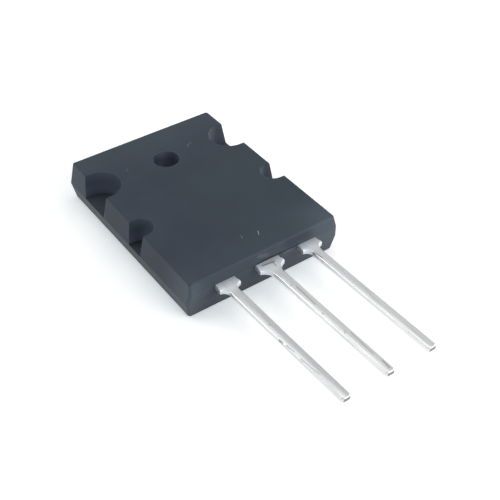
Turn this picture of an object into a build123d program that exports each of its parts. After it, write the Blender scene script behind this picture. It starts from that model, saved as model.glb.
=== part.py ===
from build123d import *
import os
from math import asin, cos, sin, sqrt

# NPN power transistor in a large three-lead moulded package.
#
# Frame, in millimetres: the origin is where the axis of the mounting hole meets the seating
# plane. +Z points out of the marking face, +Y towards the end with the hole, and the leads
# run along -Y. The package lies on its exposed heat spreader, at Z = 0.

# ------------------------------------------------------------------ moulded body
body_thickness = 5.0        # seating plane to marking face
body_width = 20.1           # over both sides, at the parting line
hole_to_head = 6.2          # hole axis to the head end, at the parting line
hole_to_foot = 20.3         # hole axis to the lead end, at the parting line
# How far each wall leans in from the parting line, to the marking face and to the seat.
front_side_draw = 0.45
front_head_draw = 0.4
front_foot_draw = 0.35
seat_side_draw = 0.4
seat_head_draw = 0.4
seat_foot_draw = 0.62
corner_radius = 0.35
face_edge_radius = 0.25
seat_edge_radius = 0.3
hole_diameter = 3.2

# Shallow round marks with sloping rims, left by the mould's ejector pins: one each side of
# the hole and a smaller one near the lead end.
head_mark_diameter = 2.2
head_mark_spacing = 8.4
foot_mark_diameter = 1.9
foot_mark_drop = 17.1       # hole axis to the mark near the lead end
mark_depth = 0.06
mark_rim_slope = 60.0       # degrees from upright

# Side notches, cut from the marking face down to the parting line: a large pair beside the
# hole and a small pair lower down. Each is a half circle with a straight mouth.
notch_inset = 1.05          # side's parting line to a notch's centre
large_notch_radius = 2.5
small_notch_radius = 1.5
small_notch_drop = 9.2      # hole axis to the small pair
notch_draft = 6.0           # degrees

# ------------------------------------------------------------------ copper
spreader_thickness = 2.1
spreader_side_border = 1.65 # moulding left beyond the exposed face, at the seating plane
spreader_head_border = 1.2
spreader_foot_border = 2.6
spreader_corner_radius = 1.0
spreader_hole_diameter = 4.8
large_notch_cover = 1.5     # moulding between a notch and the exposed copper
small_notch_cover = 0.5
lock_flange_overhang = 0.4  # the flange that keeps the spreader in the moulding
lock_flange_thickness = 1.3

lead_pitch = 5.45
lead_thickness = 0.6
lead_top = 3.65             # front surface of the leads, above the seating plane
lead_width = 1.15
lead_reach = 19.5           # lead end of the body to the tips
outer_shoulder_width = 2.4
middle_shoulder_width = 3.0
shoulder_length = 0.55      # straight part of a shoulder, outside the body
trim_stub_width = 0.1       # what is left of the bar that joined the shoulders
trim_stub_length = 0.5
outer_neck_radius = 0.8     # where a shoulder runs into its slender lead
middle_neck_radius = 1.4
tip_corner_radius = 0.3
lead_edge_radius = 0.16     # front rim of the slender part, rolled over by the punch
lead_edge_bevel = 0.08      # back rim of the slender part

downset_width = 5.0         # strip that joins the middle lead to the spreader
downset_overlap = 1.2       # how far the strip runs onto the spreader
downset_run = 1.5           # length of its sloping part
downset_inset = 0.2         # body's lead end to the end of the wide strip
post_inset = 1.1            # body's lead end to the outer edge of a bonding post
post_length = 2.6
post_inner_reach = 2.35     # from the lead's centre line towards the middle
post_outer_reach = 2.75     # from the lead's centre line towards the side
post_corner_radius = 0.4

# ------------------------------------------------------------------ chip and bond wires
chip_side = 5.8
chip_thickness = 0.25
chip_drop = 9.9             # hole axis to the chip's centre
solder_thickness = 0.06
solder_margin = 0.2
emitter_wire_diameter = 0.4
base_wire_diameter = 0.3
emitter_wire_spacing = 1.3
emitter_pad_offset = 1.55   # chip's centre line to the middle of the emitter wires
base_pad_offset = 2.1
chip_pad_inset = 1.0        # chip's lead-end edge to the middle of a wire's foot
wire_loop_height = 0.85     # above the leads' front surface
wire_bends = 4              # straight runs that make up a wire's arch
foot_length = 1.1
foot_spread = 1.5           # foot's width as a multiple of the wire's diameter
foot_flatness = 0.55        # foot's height as a multiple of the wire's diameter

# ------------------------------------------------------------------ worked-out places
side_parting = spreader_thickness           # the mould closes on the spreader's front surface
foot_parting = lead_top                     # and on the leads' front surface at the lead end
lead_back = lead_top - lead_thickness
notch_x = body_width / 2 - notch_inset
foot_y = -hole_to_foot
tip_y = foot_y - lead_reach
chip_y = -chip_drop
chip_back = spreader_thickness + solder_thickness
chip_top = chip_back + chip_thickness
post_foot_y = foot_y + post_inset
post_head_y = post_foot_y + post_length
post_mid_y = (post_foot_y + post_head_y) / 2
spreader_width = body_width - 2 * (seat_side_draw + spreader_side_border)
spreader_head_y = hole_to_head - seat_head_draw - spreader_head_border
spreader_foot_y = foot_y + seat_foot_draw + spreader_foot_border


def make_drafted_block():
    """Block that leans in from its parting line, which is higher at the lead end."""
    half_width = body_width / 2
    end_view = Polyline(
        (half_width - seat_side_draw, 0),
        (half_width, side_parting),
        (half_width - front_side_draw, body_thickness),
        (front_side_draw - half_width, body_thickness),
        (-half_width, side_parting),
        (seat_side_draw - half_width, 0),
        close=True,
    )
    side_view = Polyline(
        (hole_to_head - seat_head_draw, 0),
        (hole_to_head, side_parting),
        (hole_to_head - front_head_draw, body_thickness),
        (foot_y + front_foot_draw, body_thickness),
        (foot_y, foot_parting),
        (foot_y + seat_foot_draw, 0),
        close=True,
    )
    along_y = extrude(Plane.XZ * make_face(end_view), 2 * hole_to_foot, both=True)
    along_x = extrude(Plane.YZ * make_face(side_view), body_width, both=True)
    block = along_y & along_x
    arrises = [edge for edge in block.edges() if abs((edge % 0.5).Z) > 0.5]
    return fillet(arrises, corner_radius)


def notch_cutter(side, drop, radius):
    """Tapered cutter for one notch, from above the marking face down to the parting line."""
    mouth = notch_inset + radius
    outline = Circle(radius) + Pos(side * mouth / 2, 0) * Rectangle(mouth, 2 * radius)
    depth = body_thickness - side_parting
    return extrude(Pos(side * notch_x, -drop, body_thickness) * outline, -depth, taper=notch_draft)


def mark_cutter(x, drop, diameter):
    """Cutter for one ejector mark, narrowing from the marking face down."""
    outline = Pos(x, -drop, body_thickness) * Circle(diameter / 2)
    return extrude(outline, -mark_depth, taper=mark_rim_slope)


def make_body_blank():
    """The moulding before anything embedded in it is taken out."""
    blank = make_drafted_block()
    face_rim = blank.faces().sort_by(Axis.Z)[-1].outer_wire().edges()
    blank = fillet(face_rim, face_edge_radius)
    seat_rim = blank.faces().sort_by(Axis.Z)[0].outer_wire().edges()
    blank = fillet(seat_rim, seat_edge_radius)
    for side in (-1, 1):
        blank -= notch_cutter(side, 0, large_notch_radius)
        blank -= notch_cutter(side, small_notch_drop, small_notch_radius)
        blank -= mark_cutter(side * head_mark_spacing / 2, 0, head_mark_diameter)
    blank -= mark_cutter(0, foot_mark_drop, foot_mark_diameter)
    blank -= Cylinder(hole_diameter / 2, 3 * body_thickness)
    return blank


def spreader_outline():
    """Exposed face of the heat spreader, cleared round the four notches."""
    length = spreader_head_y - spreader_foot_y
    outline = RectangleRounded(spreader_width, length, spreader_corner_radius)
    outline = Pos(0, (spreader_head_y + spreader_foot_y) / 2) * outline
    for side in (-1, 1):
        large_clearing = Circle(large_notch_radius + large_notch_cover)
        small_clearing = Circle(small_notch_radius + small_notch_cover)
        outline -= Pos(side * notch_x, 0) * large_clearing
        outline -= Pos(side * notch_x, -small_notch_drop) * small_clearing
    return outline


def lead_outline(shoulder_width, neck_radius, inner_y):
    """Flat outline of one lead on its own centre line, from inner_y inside the body to the tip."""
    half = lead_width / 2
    shoulder = shoulder_width / 2
    stub = shoulder + trim_stub_width
    stub_start = foot_y - shoulder_length
    stub_end = stub_start - trim_stub_length
    neck_x = half + neck_radius
    neck_rise = sqrt(neck_radius**2 - (neck_x - stub) ** 2)
    neck_y = stub_end - neck_rise
    half_angle = asin(neck_rise / neck_radius) / 2
    neck_mid = (neck_x - neck_radius * cos(half_angle), neck_y + neck_radius * sin(half_angle))
    edge = [
        Line((0, inner_y), (shoulder, inner_y)),
        Line((shoulder, inner_y), (shoulder, stub_start)),
        Line((shoulder, stub_start), (stub, stub_start - trim_stub_width)),
        Line((stub, stub_start - trim_stub_width), (stub, stub_end)),
        ThreePointArc((stub, stub_end), neck_mid, (half, neck_y)),
        Line((half, neck_y), (half, tip_y)),
        Line((half, tip_y), (0, tip_y)),
    ]
    curve = Curve() + edge
    outline = make_face(curve + mirror(curve, Plane.YZ))
    corners = outline.vertices().group_by(Axis.Y)[0].sort_by(Axis.X)
    return fillet([corners[0], corners[-1]], tip_corner_radius)


def slender_rims(lead):
    """Edges of the slender part of a lead, along both sides and round the tip."""
    return lead.edges().filter_by_position(Axis.Y, tip_y - 1, foot_y - lead_reach / 4)


def finish_lead(lead):
    """Roll over the front rim of the slender part and bevel the back rim."""
    lead = fillet(slender_rims(lead).group_by(Axis.Z)[-1], lead_edge_radius)
    return chamfer(slender_rims(lead).group_by(Axis.Z)[0], lead_edge_bevel)


def make_outer_lead(side):
    """Base or emitter lead: a bonding post inside the body, a shoulder and a slender lead."""
    outline = lead_outline(outer_shoulder_width, outer_neck_radius, post_mid_y)
    plate = extrude(Pos(0, 0, lead_back) * outline, lead_thickness)
    plate = Pos(side * lead_pitch, 0, 0) * finish_lead(plate)
    inner_x = side * (lead_pitch - post_inner_reach)
    outer_x = side * (lead_pitch + post_outer_reach)
    post = RectangleRounded(abs(outer_x - inner_x), post_length, post_corner_radius)
    post = Pos((inner_x + outer_x) / 2, post_mid_y, lead_back) * post
    return plate + extrude(post, lead_thickness)


def make_collector_frame():
    """Heat spreader and middle lead, rolled and pressed from one strip of copper."""
    outline = spreader_outline()
    exposed = extrude(outline, spreader_thickness)
    flange = Pos(0, 0, spreader_thickness - lock_flange_thickness) * offset(outline, lock_flange_overhang)
    spreader = exposed + extrude(flange, lock_flange_thickness)
    spreader -= Cylinder(spreader_hole_diameter / 2, 3 * spreader_thickness)
    start_y = spreader_foot_y + downset_overlap
    bend_y = spreader_foot_y - lock_flange_overhang
    flat_y = bend_y - downset_run
    strip = Polyline(
        (start_y, spreader_thickness),
        (bend_y, spreader_thickness),
        (flat_y, lead_top),
        (foot_y + downset_inset, lead_top),
        (foot_y + downset_inset, lead_back),
        (flat_y, lead_back),
        (bend_y, spreader_thickness - lead_thickness),
        (start_y, spreader_thickness - lead_thickness),
        close=True,
    )
    downset = extrude(Plane.YZ * make_face(strip), downset_width / 2, both=True)
    lead_shape = lead_outline(middle_shoulder_width, middle_neck_radius, flat_y)
    lead = extrude(Pos(0, 0, lead_back) * lead_shape, lead_thickness)
    return spreader + downset + finish_lead(lead)


def make_chip():
    """Silicon chip, standing on its solder."""
    chip = Box(chip_side, chip_side, chip_thickness, align=(Align.CENTER, Align.CENTER, Align.MIN))
    return Pos(0, chip_y, chip_back) * chip


def make_chip_solder():
    """Solder layer between the chip and the spreader."""
    side = chip_side + 2 * solder_margin
    layer = Box(side, side, solder_thickness, align=(Align.CENTER, Align.CENTER, Align.MIN))
    return Pos(0, chip_y, spreader_thickness) * layer


def wire_foot(x, y, z, diameter, heading):
    """Flattened end of a bond wire, pressed onto a pad at height z."""
    foot = Box(
        foot_spread * diameter,
        foot_length,
        foot_flatness * diameter,
        align=(Align.CENTER, Align.CENTER, Align.MIN),
    )
    return Pos(x, y, z) * Rot(0, 0, heading) * foot


def make_bond_wire(chip_x, post_x, diameter):
    """Aluminium wire arched from a pad on the chip to a bonding post."""
    start = Vector(chip_x, chip_y - chip_side / 2 + chip_pad_inset)
    end = Vector(post_x, post_mid_y)
    along = end - start
    span = along.length
    heading = Vector(0, -1).get_signed_angle(along)
    low = chip_top + diameter / 2
    high = lead_top + diameter / 2
    crest = lead_top + wire_loop_height - diameter / 2
    arch = ThreePointArc((0, low), (span / 2, crest), (span, high))
    path = Polyline(*[arch @ (i / wire_bends) for i in range(wire_bends + 1)])
    upright = Plane(origin=(start.X, start.Y, 0), x_dir=(along.X, along.Y, 0), z_dir=(along.Y, -along.X, 0))
    path = upright * path
    section = Plane(origin=path @ 0, z_dir=path % 0) * Circle(diameter / 2)
    wire = sweep(section, path=path, transition=Transition.RIGHT)
    for place, height in ((start, chip_top), (end, lead_top)):
        wire += wire_foot(place.X, place.Y, height, diameter, heading)
    return wire


half_gap = emitter_wire_spacing / 2

collector_frame = make_collector_frame()
base_lead = make_outer_lead(-1)
emitter_lead = make_outer_lead(1)
chip = make_chip()
chip_solder = make_chip_solder()
base_wire = make_bond_wire(-base_pad_offset, -lead_pitch, base_wire_diameter)
inner_emitter_wire = make_bond_wire(
    emitter_pad_offset - half_gap, lead_pitch - half_gap, emitter_wire_diameter
)
outer_emitter_wire = make_bond_wire(
    emitter_pad_offset + half_gap, lead_pitch + half_gap, emitter_wire_diameter
)

embedded = {
    "collector_frame": collector_frame,
    "base_lead": base_lead,
    "emitter_lead": emitter_lead,
    "transistor_chip": chip,
    "chip_solder": chip_solder,
    "base_bond_wire": base_wire,
    "emitter_bond_wire_inner": inner_emitter_wire,
    "emitter_bond_wire_outer": outer_emitter_wire,
}

moulded_body = make_body_blank()
for piece in embedded.values():
    moulded_body -= piece

os.makedirs("parts", exist_ok=True)
for name, piece in {"moulded_body": moulded_body, **embedded}.items():
    export_step(piece, f"parts/{name}.step")
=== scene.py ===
import math
from functools import cached_property

import bmesh
import bpy
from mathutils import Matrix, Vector


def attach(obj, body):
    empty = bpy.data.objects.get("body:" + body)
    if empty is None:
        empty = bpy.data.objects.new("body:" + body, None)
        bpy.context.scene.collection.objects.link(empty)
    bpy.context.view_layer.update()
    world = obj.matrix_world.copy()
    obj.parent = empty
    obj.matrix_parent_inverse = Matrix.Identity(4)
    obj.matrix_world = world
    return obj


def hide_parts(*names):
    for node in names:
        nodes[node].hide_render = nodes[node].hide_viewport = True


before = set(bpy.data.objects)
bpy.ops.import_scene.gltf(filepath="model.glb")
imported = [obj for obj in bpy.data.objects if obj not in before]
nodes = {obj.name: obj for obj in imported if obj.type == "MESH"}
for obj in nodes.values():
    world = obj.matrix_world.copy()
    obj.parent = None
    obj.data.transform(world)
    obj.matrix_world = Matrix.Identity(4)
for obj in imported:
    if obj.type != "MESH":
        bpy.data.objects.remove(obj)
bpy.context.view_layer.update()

# Lengths are in millimetres: the hole's axis is at x = 0 and y = 0, the part lies on z = 0, and
# the leads run along -Y.
MM = 0.001

PARTING = 2.1  # height of the parting line along the sides, and of the notches' floors
FRONT = 5.0  # height of the marking face
LEAD_TOP = 3.65
LEAD_PITCH = 5.45
FOOT_Y = -20.3  # lead end of the body
NECK_Y = -22.0  # where the leads' shoulders end
TIP_Y = -39.8
LEAN = 0.021  # sideways slope of the leads from their necks on

# Openings in the moulding, the same on either side: x, y, radius and how much painted light the
# wall takes.
LARGE_NOTCH = (9.0, 0.0, 2.5, 0.55)
SMALL_NOTCH = (9.0, -9.2, 1.5, 1.0)
HOLE = (0.0, 0.0, 1.6, 1.3)

MARK_FLOOR = 4.94  # height of the floors of the ejector marks
MARK_WEAR = 0.04  # how much shallower wear has left them

WELD_DISTANCE = 0.0005
SHARP_ANGLE = math.radians(18.5)


# ---------------------------------------------------------------- shader maths


class Signal:
    """A shader socket that Python's operators work on; each one adds a Math node."""

    def __init__(self, recipe, socket):
        self.recipe = recipe
        self.socket = socket

    def __add__(self, other):
        return self.recipe.calculate("ADD", self, other)

    def __sub__(self, other):
        return self.recipe.calculate("SUBTRACT", self, other)

    def __rsub__(self, other):
        return self.recipe.calculate("SUBTRACT", other, self)

    def __mul__(self, other):
        return self.recipe.calculate("MULTIPLY", self, other)

    def __pow__(self, power):
        return self.recipe.calculate("POWER", self, power)

    def __abs__(self):
        return self.recipe.calculate("ABSOLUTE", self)

    __radd__ = __add__
    __rmul__ = __mul__

    def at_least(self, least):
        """The larger of this and another number."""
        return self.recipe.calculate("MAXIMUM", self, least)

    def wrapped(self, reach):
        """This number brought between -reach and reach by whole turns."""
        return self.recipe.calculate("WRAP", self, reach, -reach)

    def rise(self, low, high):
        """0 below low, 1 above high, and a smooth turn between them."""
        ranged = {"Value": self, "From Min": low, "From Max": high}
        return self.recipe.node("ShaderNodeMapRange", ranged, interpolation_type="SMOOTHSTEP")

    def fall(self, low, high):
        """1 below low, 0 above high, and a smooth turn between them."""
        return 1.0 - self.rise(low, high)


def opaque(colour):
    """A colour of three numbers with full alpha; one that is already a socket stays."""
    return colour if isinstance(colour, Signal) else (*colour, 1.0)


class Recipe:
    """The node tree of a new material or world, and the few things that are asked of it."""

    def __init__(self, owner):
        owner.use_nodes = True
        self.owner = owner
        self.tree = owner.node_tree
        self.tree.nodes.clear()

    def node(self, kind, inputs=None, output=0, **settings):
        """Adds a node: its settings first, then the values or links of its sockets."""
        made = self.tree.nodes.new(kind)
        for key, value in settings.items():
            setattr(made, key, value)
        for key, value in (inputs or {}).items():
            if isinstance(value, Signal):
                self.tree.links.new(value.socket, made.inputs[key])
            else:
                made.inputs[key].default_value = value
        return Signal(self, made.outputs[output]) if made.outputs else None

    def calculate(self, operation, *values):
        """One step of arithmetic."""
        return self.node("ShaderNodeMath", dict(enumerate(values)), operation=operation)

    def millimetres(self, stretch=(1, 1, 1), shift=(0, 0, 0)):
        """The point on the piece in millimetres, stretched and shifted."""
        point = self.node("ShaderNodeTexCoord", output="Object")
        scale = [1 / (MM * s) for s in stretch]
        inputs = {"Vector": point, "Scale": scale, "Location": shift}
        return self.node("ShaderNodeMapping", inputs)

    @cached_property
    def place(self):
        """The three coordinates of the point on the piece, in millimetres."""
        point = self.millimetres()
        return [self.node("ShaderNodeSeparateXYZ", {0: point}, axis) for axis in range(3)]

    def radius(self, centre_x, centre_y):
        """Distance from an upright axis in millimetres, the same on either side of the part."""
        x, y, _ = self.place
        off_x, off_y = abs(x) - centre_x, y - centre_y
        return (off_x * off_x + off_y * off_y) ** 0.5

    def stroke(self, start, end, width, upright=False):
        """1 along a line, as seen from above or, if upright, from the lead end.

        It fades out over its width.
        """
        x, y, z = self.place
        length = math.dist(start, end)
        run_x, run_y = (end[0] - start[0]) / length, (end[1] - start[1]) / length
        off_x, off_y = x - start[0], (z if upright else y) - start[1]
        along = off_x * run_x + off_y * run_y
        across = abs(off_y * run_x - off_x * run_y)
        ends = along.rise(-width, width) * along.fall(length - width, length + width)
        return ends * across.fall(width / 4, width)

    def strokes(self, *lines, upright=False):
        """The sum of strokes, each given as its start, end, width and weight."""
        total = 0.0
        for start, end, width, weight in lines:
            total = self.stroke(start, end, width, upright) * weight + total
        return total

    def noise(self, size, detail=2.0, roughness=0.5, stretch=(1, 1, 1), shift=(0, 0, 0)):
        """Cloudy variation from 0 to 1, with features of that size in millimetres."""
        point = self.millimetres(stretch, shift)
        inputs = {"Vector": point, "Scale": 1 / size, "Detail": detail, "Roughness": roughness}
        return self.node("ShaderNodeTexNoise", inputs)

    def mix(self, factor, low, high):
        """A colour between two colours."""
        inputs = {"Factor": factor, 6: opaque(low), 7: opaque(high)}
        return self.node("ShaderNodeMix", inputs, output=2, data_type="RGBA")

    def bump(self, height, depth, after=None):
        """A normal bent by a height from 0 to 1 that stands for that depth in millimetres."""
        inputs = {"Height": height, "Distance": depth * MM, "Strength": 1.0}
        if after is not None:
            inputs["Normal"] = after
        return self.node("ShaderNodeBump", inputs)

    def finish(self, **inputs):
        """The Principled shader, with spaces for the underscores of the socket names."""
        named = {key.replace("_", " "): value for key, value in inputs.items()}
        shader = self.node("ShaderNodeBsdfPrincipled", named)
        self.node("ShaderNodeOutputMaterial", {"Surface": shader})
        return self.owner


def new_material(name):
    """An empty recipe for a material."""
    return Recipe(bpy.data.materials.new(name))


# ---------------------------------------------------------------- moulding


def painted_edge_glare(r, clouding):
    """Painted glare: how much paler the lead-end corners, the front's rims and the head end are
    painted.
    """
    x, y, z = r.place
    to_plus_side = x.rise(3.0, 10.5)
    to_minus_side = x.fall(-10.5, -6.5) * (1.0 - z.rise(FRONT - 0.4, FRONT - 0.1) * 0.75)
    to_foot = y.fall(FOOT_Y - 0.5, -14.0)
    to_head = y.rise(-2.0, 7.0)
    glare = (to_plus_side + to_minus_side) * to_foot * 0.85 + to_foot * 0.15 + to_head * 0.25
    return glare * (0.75 + clouding * 0.5)


def painted_wall_light(r):
    """Painted light on the notch and hole walls: shade lifted low on the -X side, highlights deep
    inside.
    """
    x, _, z = r.place
    margin, fade = 0.02, 0.08
    plus_side = x.rise(5.0, 6.0)
    at_notches = abs(x).rise(3.0, 5.0)
    low = z.fall(2.4, 4.1) * (1.0 - plus_side)
    deep = at_notches * abs(x).fall(7.0, 9.2) * (plus_side * 0.2 + 0.25)
    in_hole = (1.0 - at_notches) * x.rise(-0.9, 0.5) * 0.28
    wall_lift = deep + in_hole + low * 0.65 + 0.05
    walls = 0.0
    for centre_x, centre_y, radius, lightness in (LARGE_NOTCH, SMALL_NOTCH, HOLE):
        inside = r.radius(centre_x, centre_y).fall(radius + margin, radius + fade)
        walls = inside * wall_lift * lightness + walls
    return walls * z.rise(PARTING + margin, PARTING + fade)


def reflected_band_and_clouds(r, colour):
    """Adds a painted reflection of the floor, a paler band low down below the parting line, and
    greener flow clouds.
    """
    _, y, z = r.place
    # Painted reflection of the floor: paler low down, more so towards the head.
    reflected_band = z.fall(1.5, 2.4) * (y.rise(-5.0, 4.0) * 0.40 + 0.38)
    colour = r.mix(reflected_band, colour, (0.085, 0.097, 0.091))
    clouds = r.noise(9.0, detail=2, shift=(3, 1, 0)).rise(0.42, 0.62)
    return r.mix(clouds * 0.30, colour, (0.026, 0.043, 0.051))


def end_face_smudges_and_light(r, colour, at_foot):
    """End face: smudges, painted glare towards +X, a painted shadow above the +X lead, a purplish
    tint below.
    """
    x, _, z = r.place
    # Painted glare: the end face paler towards +X.
    plus_x_glare = x.rise(0.8, 3.0) * 0.10 + 0.10
    colour = r.mix(at_foot * plus_x_glare, colour, (0.105, 0.120, 0.145))
    smudges = r.strokes(
        ((2.3, 3.50), (3.4, 3.60), 0.20, 0.70),
        ((3.4, 3.60), (4.3, 3.58), 0.14, 0.75),
        ((3.5, 3.20), (4.6, 2.35), 0.20, 0.45),
        ((-1.1, 4.55), (0.3, 4.20), 0.35, 0.30),
        upright=True,
    )
    patchy = r.noise(0.7, detail=2, shift=(2, 5, 9)).rise(0.35, 0.62)
    smudges = smudges * (patchy * 0.7 + 0.3)
    colour = r.mix(smudges * at_foot, colour, (0.17, 0.17, 0.21))
    # Painted shadow above the +X lead.
    shadow_above_plus_lead = r.stroke((2.4, 4.45), (6.2, 4.35), 0.85, upright=True)
    colour = r.mix(shadow_above_plus_lead * at_foot * 0.7, colour, (0.018, 0.027, 0.042))
    below_leads = x.rise(0.5, 1.5) * x.fall(5.8, 6.4) * z.fall(3.0, 3.5)
    return r.mix(below_leads * at_foot * 0.4, colour, (0.060, 0.062, 0.094))


def painted_mark_glints(r):
    """Painted highlights: short pale glints on the rims of the ejector marks."""
    _, _, z = r.place
    glints = r.strokes(
        ((1.15, -17.05), (0.85, -17.65), 0.07, 0.8),
        ((-0.85, -16.65), (-0.92, -17.10), 0.06, 0.5),
        ((3.40, 0.75), (3.85, 1.08), 0.06, 0.4),
        ((3.85, 1.08), (4.30, 1.14), 0.06, 0.3),
        ((-5.15, 0.55), (-4.75, 0.98), 0.06, 0.2),
        ((-4.05, 1.12), (-3.65, 0.98), 0.05, 0.15),
    )
    return glints * z.rise(FRONT - 0.2, FRONT - 0.1)


def painted_gap_shadow(r, at_foot):
    """Painted shadow: the dark, wavering line in the gap above the middle lead, where the
    moulding has come away a little.
    """
    x, _, z = r.place
    waver = r.noise(1.1, detail=1, shift=(4, 4, 2)) * 0.34
    height = z + waver
    gap_shadow = height.rise(3.80, 3.86) * height.fall(3.96, 4.08)
    return gap_shadow * at_foot * x.rise(-1.9, -1.3) * x.fall(4.3, 4.7)


def epoxy_moulding():
    """Black filled epoxy: fine spark-eroded skin, faint flow clouding, softly worn sheen."""
    r = new_material("epoxy_moulding")
    _, y, _ = r.place
    skin = r.noise(0.11, detail=3, roughness=0.6)
    clouding = r.noise(6.0, detail=3)
    flecks = r.noise(0.3, detail=2).rise(0.62, 0.78)
    at_foot = y.fall(FOOT_Y + 0.3, FOOT_Y + 0.6)

    colour = r.mix(clouding.rise(0.3, 0.7), (0.0205, 0.031, 0.048), (0.0255, 0.038, 0.057))
    colour = r.mix(flecks * 0.18, colour, (0.060, 0.075, 0.092))
    # Painted glare towards the corners of the lead end and the rims of the front.
    colour = r.mix(painted_edge_glare(r, clouding), colour, (0.078, 0.103, 0.129))
    # Painted light on the walls of the notches and the hole.
    colour = r.mix(painted_wall_light(r), colour, (0.150, 0.182, 0.262))
    # Painted reflection of the floor low down, and flow clouds.
    colour = reflected_band_and_clouds(r, colour)
    # Smudges on the end face, with painted glare and a painted shadow.
    colour = end_face_smudges_and_light(r, colour, at_foot)
    # Painted highlights on the rims of the ejector marks.
    colour = r.mix(painted_mark_glints(r), colour, (0.30, 0.33, 0.37))
    # Painted shadow in the gap above the middle lead.
    colour = r.mix(painted_gap_shadow(r, at_foot) * 0.85, colour, (0.008, 0.010, 0.014))
    return r.finish(
        Base_Color=colour,
        Roughness=0.46 + clouding * 0.10 + skin * 0.06,
        Specular_IOR_Level=0.28,
        Normal=r.bump(skin, 0.006),
    )


# ---------------------------------------------------------------- metals


def lead_marks_and_shade(r):
    """Nicks and streaks from handling on the front of the leads, and painted shade on the middle
    lead.
    """
    _, _, z = r.place
    lead_marks = r.strokes(
        ((-0.15, -30.00), (-0.09, -30.10), 0.12, 0.9),
        ((0.00, -33.30), (0.06, -33.40), 0.12, 0.8),
        ((-5.84, -30.25), (-5.80, -30.90), 0.05, 0.8),
        ((-5.77, -31.30), (-5.66, -32.50), 0.07, 0.6),
        ((-5.50, -28.05), (-5.42, -28.35), 0.09, 0.4),
        ((-5.70, -33.50), (-5.45, -36.20), 0.13, 0.35),
        ((4.93, -22.10), (5.12, -23.50), 0.10, 0.75),
        ((0.12, -25.40), (0.08, -28.60), 0.16, 0.35),
        ((0.50, -33.60), (0.42, -37.20), 0.10, 0.25),
        ((0.60, -38.20), (0.52, -39.40), 0.12, 0.45),
        # Painted shade: across the middle lead by the body, and in a crease on its shoulder.
        ((-0.98, -20.72), (0.60, -20.92), 0.16, 0.55),
        ((0.34, -21.00), (0.26, -21.65), 0.13, 0.50),
        ((-0.90, -20.60), (0.70, -20.75), 0.40, 0.24),
    )
    return lead_marks * z.rise(LEAD_TOP - 0.35, LEAD_TOP - 0.25)


def rolled_plating(r, lines):
    """Colour of the spreader: satin plating with the lines that rolling left."""
    patches = r.noise(4.0, detail=2, shift=(8, 3, 1)).rise(0.4, 0.7)
    plating = r.mix(lines, (0.50, 0.49, 0.47), (0.62, 0.61, 0.59))
    return r.mix(patches * 0.4, plating, (0.46, 0.43, 0.40))


def solder_dip():
    """Solder-dipped copper: bright and a little uneven, and dull at the shoulders.

    The leads are crowned across, the spreader is plated instead, and the tips are bare crops.
    Painted shade greys the tops near the necks, where they mirror the dark body, and darkens
    the sides and the +X half of each lead.
    """
    r = new_material("solder_dip")
    x, y, z = r.place
    run = (NECK_Y - y).at_least(0.0)
    across = (x - run * LEAN).wrapped(LEAD_PITCH / 2)

    # Where each finish and each painted shade lies.
    slender = y.fall(NECK_Y - 1.5, NECK_Y)
    body_reflection = y.rise(NECK_Y - 5.0, NECK_Y + 0.5)
    shoulder = y.rise(NECK_Y - 0.8, NECK_Y + 0.8) * y.fall(FOOT_Y + 0.1, FOOT_Y + 0.3)
    shaded_sides = z.fall(LEAD_TOP - 0.3, LEAD_TOP - 0.1)
    # Darker on the -X lead from a little past its neck.
    minus_lead_darkening = x.fall(-4.5, -3.0) * y.fall(NECK_Y - 4.0, NECK_Y - 0.5)
    rolled = z.fall(PARTING + 0.1, PARTING + 0.4)
    cropped = y.fall(TIP_Y + 0.01, TIP_Y + 0.05)

    # How the dip ran and set.
    swell = r.noise(2.2, detail=1, stretch=(0.6, 2.2, 1.0), shift=(5, 0, 1))
    dull = r.noise(1.6, detail=3, stretch=(0.6, 3.0, 1.0), shift=(7, 2, 5)).rise(0.42, 0.72)
    draws = r.noise(0.3, detail=2, stretch=(0.7, 16.0, 1.0), shift=(1, 8, 2)).rise(0.50, 0.72)
    specks = r.noise(0.42, detail=1, shift=(11, 4, 1)).rise(0.745, 0.80)
    lines = r.noise(0.25, detail=3, stretch=(0.5, 20.0, 1.0), shift=(6, 6, 6))

    # Greyer where the dip is dull, painted reflection of the dark body near the necks, and the -X
    # lead darker.
    greyed = dull * 0.6 + body_reflection * 0.4 + minus_lead_darkening * 0.6
    colour = r.mix(greyed, (0.80, 0.81, 0.81), (0.64, 0.65, 0.66))
    colour = r.mix(draws * 0.35, colour, (0.50, 0.50, 0.50))
    colour = r.mix(shoulder * 0.5, colour, (0.72, 0.80, 0.86))
    # Painted shade: the sides of the leads darker.
    colour = r.mix(shaded_sides * 0.5, colour, (0.66, 0.67, 0.67))
    # Painted shade towards the +X edge of each lead.
    colour = r.mix(across.rise(0.10, 0.55) * 0.35, colour, (0.62, 0.62, 0.63))
    # Nicks and streaks on the leads, with painted shade on the middle one.
    colour = r.mix(lead_marks_and_shade(r), colour, (0.13, 0.13, 0.13))
    colour = r.mix(specks * 0.8, colour, (0.22, 0.22, 0.22))
    colour = r.mix(rolled, colour, rolled_plating(r, lines))
    colour = r.mix(cropped, colour, (0.30, 0.29, 0.28))

    roughness = 0.24 + dull * 0.10 + specks * 0.3 + shoulder * 0.14 + cropped * 0.3
    roughness = roughness + rolled * (lines * 0.15 + 0.08)
    crown = (0.5 - across * across) * slender
    return r.finish(
        Base_Color=colour,
        Metallic=1.0 - shoulder * 0.3,
        Roughness=roughness,
        Normal=r.bump(crown, 0.17, after=r.bump(swell, 0.03)),
    )


def silicon():
    """Chip: grey silicon with a fine saw-cut grain."""
    r = new_material("silicon")
    grain = r.noise(0.05, detail=2, stretch=(1, 12, 1))
    colour = r.mix(grain, (0.16, 0.17, 0.21), (0.22, 0.23, 0.27))
    return r.finish(Base_Color=colour, Metallic=0.6, Roughness=0.25 + grain * 0.1)


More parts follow.
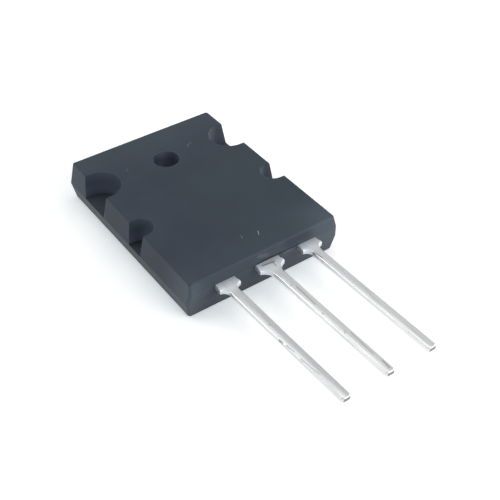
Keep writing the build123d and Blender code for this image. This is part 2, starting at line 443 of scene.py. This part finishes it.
def soft_solder():
    """Dull lead solder with a crystalline mottle."""
    r = new_material("soft_solder")
    mottle = r.noise(0.15, detail=3)
    colour = r.mix(mottle, (0.36, 0.36, 0.37), (0.48, 0.48, 0.49))
    return r.finish(Base_Color=colour, Metallic=1.0, Roughness=0.45 + mottle * 0.2)


def drawn_aluminium():
    """Bond wire: bright drawn aluminium with fine die lines."""
    r = new_material("drawn_aluminium")
    lines = r.noise(0.04, detail=2, stretch=(1, 10, 10))
    colour = r.mix(lines, (0.72, 0.73, 0.75), (0.82, 0.83, 0.85))
    return r.finish(Base_Color=colour, Metallic=1.0, Roughness=0.25 + lines * 0.12)


# ---------------------------------------------------------------- pieces


def dressed_copy(name, node, material, lean=0.0):
    """Stands for a CAD node with the same form, welded and with soft, weighted normals.

    The leads of a handled part lean a little, all to one side, from their necks on.
    """
    mesh = bpy.data.meshes.new(name)
    welded = bmesh.new()
    welded.from_mesh(nodes[node].data)
    bmesh.ops.remove_doubles(welded, verts=welded.verts, dist=WELD_DISTANCE * MM)
    for vertex in welded.verts:
        vertex.co.x += lean * max(0.0, NECK_Y * MM - vertex.co.y)
    for edge in welded.edges:
        edge.smooth = edge.calc_face_angle(0) < SHARP_ANGLE
    for face in welded.faces:
        face.smooth = True
    welded.to_mesh(mesh)
    welded.free()
    mesh.materials.clear()
    mesh.materials.append(material)
    piece = bpy.data.objects.new(name, mesh)
    bpy.context.scene.collection.objects.link(piece)
    weighting = piece.modifiers.new("weighted_normals", "WEIGHTED_NORMAL")
    weighting.mode = "FACE_AREA"
    weighting.weight = 100
    weighting.keep_sharp = True
    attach(piece, "root")
    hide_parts(node)
    return piece


def wear_marks(body):
    """Makes the ejector marks shallower: wear has left them so that they hardly show."""
    for vertex in body.data.vertices:
        if abs(vertex.co.z - MARK_FLOOR * MM) < 0.005 * MM:
            vertex.co.z += MARK_WEAR * MM


def paint_node(node, material):
    """Gives a hidden CAD node its own finish."""
    mesh = nodes[node].data
    mesh.materials.clear()
    mesh.materials.append(material)


moulding = epoxy_moulding()
dipped = solder_dip()
wear_marks(dressed_copy("epoxy_body", "moulded_body", moulding))
dressed_copy("collector_copper", "collector_frame", dipped, LEAN)
dressed_copy("base_pin", "base_lead", dipped, LEAN)
dressed_copy("emitter_pin", "emitter_lead", dipped, LEAN)

paint_node("moulded_body", moulding)
for copper in ("collector_frame", "base_lead", "emitter_lead"):
    paint_node(copper, dipped)
paint_node("transistor_chip", silicon())
paint_node("chip_solder", soft_solder())
wire_finish = drawn_aluminium()
for wire in ("base_bond_wire", "emitter_bond_wire_inner", "emitter_bond_wire_outer"):
    paint_node(wire, wire_finish)


# ---------------------------------------------------------------- studio


def bare_ray(recipe):
    """1 for the rays that see the room itself: straight, mirrored or through glass."""
    straight = recipe.node("ShaderNodeLightPath", output="Is Camera Ray")
    mirrored = recipe.node("ShaderNodeLightPath", output="Is Glossy Ray")
    through = recipe.node("ShaderNodeLightPath", output="Is Transmission Ray")
    return straight.at_least(mirrored).at_least(through)


def white_floor():
    """Matt floor that takes the shadow, with a glow that lifts it to white."""
    r = new_material("studio_floor")
    bare = bare_ray(r)
    strength = 0.33 + r.radius(0.0, 0.0).rise(150.0, 700.0) * 0.9
    colour = r.mix(bare, (0.60, 0.62, 0.65), (0.95, 0.89, 0.86))
    matt = r.node("ShaderNodeBsdfDiffuse", {"Color": colour})
    glow = {"Color": opaque((0.82, 1.0, 1.09)), "Strength": bare * strength}
    glow = r.node("ShaderNodeEmission", glow)
    both = r.node("ShaderNodeAddShader", {0: matt, 1: glow})
    r.node("ShaderNodeOutputMaterial", {"Surface": both})

    half = 1500 * MM
    corners = [(-half, -half, 0), (half, -half, 0), (half, half, 0), (-half, half, 0)]
    mesh = bpy.data.meshes.new("studio_floor")
    mesh.from_pydata(corners, [], [(0, 1, 2, 3)])
    mesh.materials.append(r.owner)
    floor = bpy.data.objects.new("studio_floor", mesh)
    floor.location.z = -0.02 * MM
    bpy.context.scene.collection.objects.link(floor)


def white_room(fill, ceiling):
    """White room: the camera sees plain white, mirrors see it dim towards the ceiling."""
    r = Recipe(bpy.data.worlds.new("studio_room"))
    direction = r.node("ShaderNodeTexCoord", output="Generated")
    height = r.node("ShaderNodeSeparateXYZ", {0: direction}, output=2).at_least(0.0)
    mirrored = r.node("ShaderNodeLightPath", output="Is Glossy Ray")
    level = 1.0 - height * mirrored * (1.0 - ceiling)
    bare = bare_ray(r)
    strength = bare * level + (1.0 - bare) * fill
    white = {"Color": opaque((1, 1, 1)), "Strength": strength}
    background = r.node("ShaderNodeBackground", white)
    r.node("ShaderNodeOutputWorld", {"Surface": background})
    bpy.context.scene.world = r.owner


def softbox(name, place, size, power):
    """Square lamp at a place in millimetres, turned to face the middle of the part."""
    lamp = bpy.data.lights.new(name, "AREA")
    lamp.size = size * MM
    lamp.energy = power
    holder = bpy.data.objects.new(name, lamp)
    bpy.context.scene.collection.objects.link(holder)
    middle = Vector((0, -10 * MM, 0))
    holder.location = [v * MM for v in place]
    holder.rotation_euler = (holder.location - middle).to_track_quat("Z", "Y").to_euler()


white_floor()
white_room(fill=0.42, ceiling=0.5)
softbox("overhead", (40, 20, 280), 240, 0.16)
softbox("key_back_left", (-180, 190, 110), 260, 0.36)
softbox("side_right", (240, -40, 110), 160, 0.13)
softbox("fill_front", (110, -250, 120), 200, 0.45)

camera = bpy.data.objects.new("camera", bpy.data.cameras.new("camera"))
bpy.context.scene.collection.objects.link(camera)
camera.location = [v * MM for v in (-45.086, -79.761, 71.155)]
camera.rotation_euler = [math.radians(a) for a in (48.480, -0.274, -35.535)]
camera.data.sensor_width = 36
camera.data.lens = 67.43
camera.data.clip_start = 1 * MM
camera.data.clip_end = 10
bpy.context.scene.camera = camera

bpy.context.scene.view_settings.view_transform = "Standard"
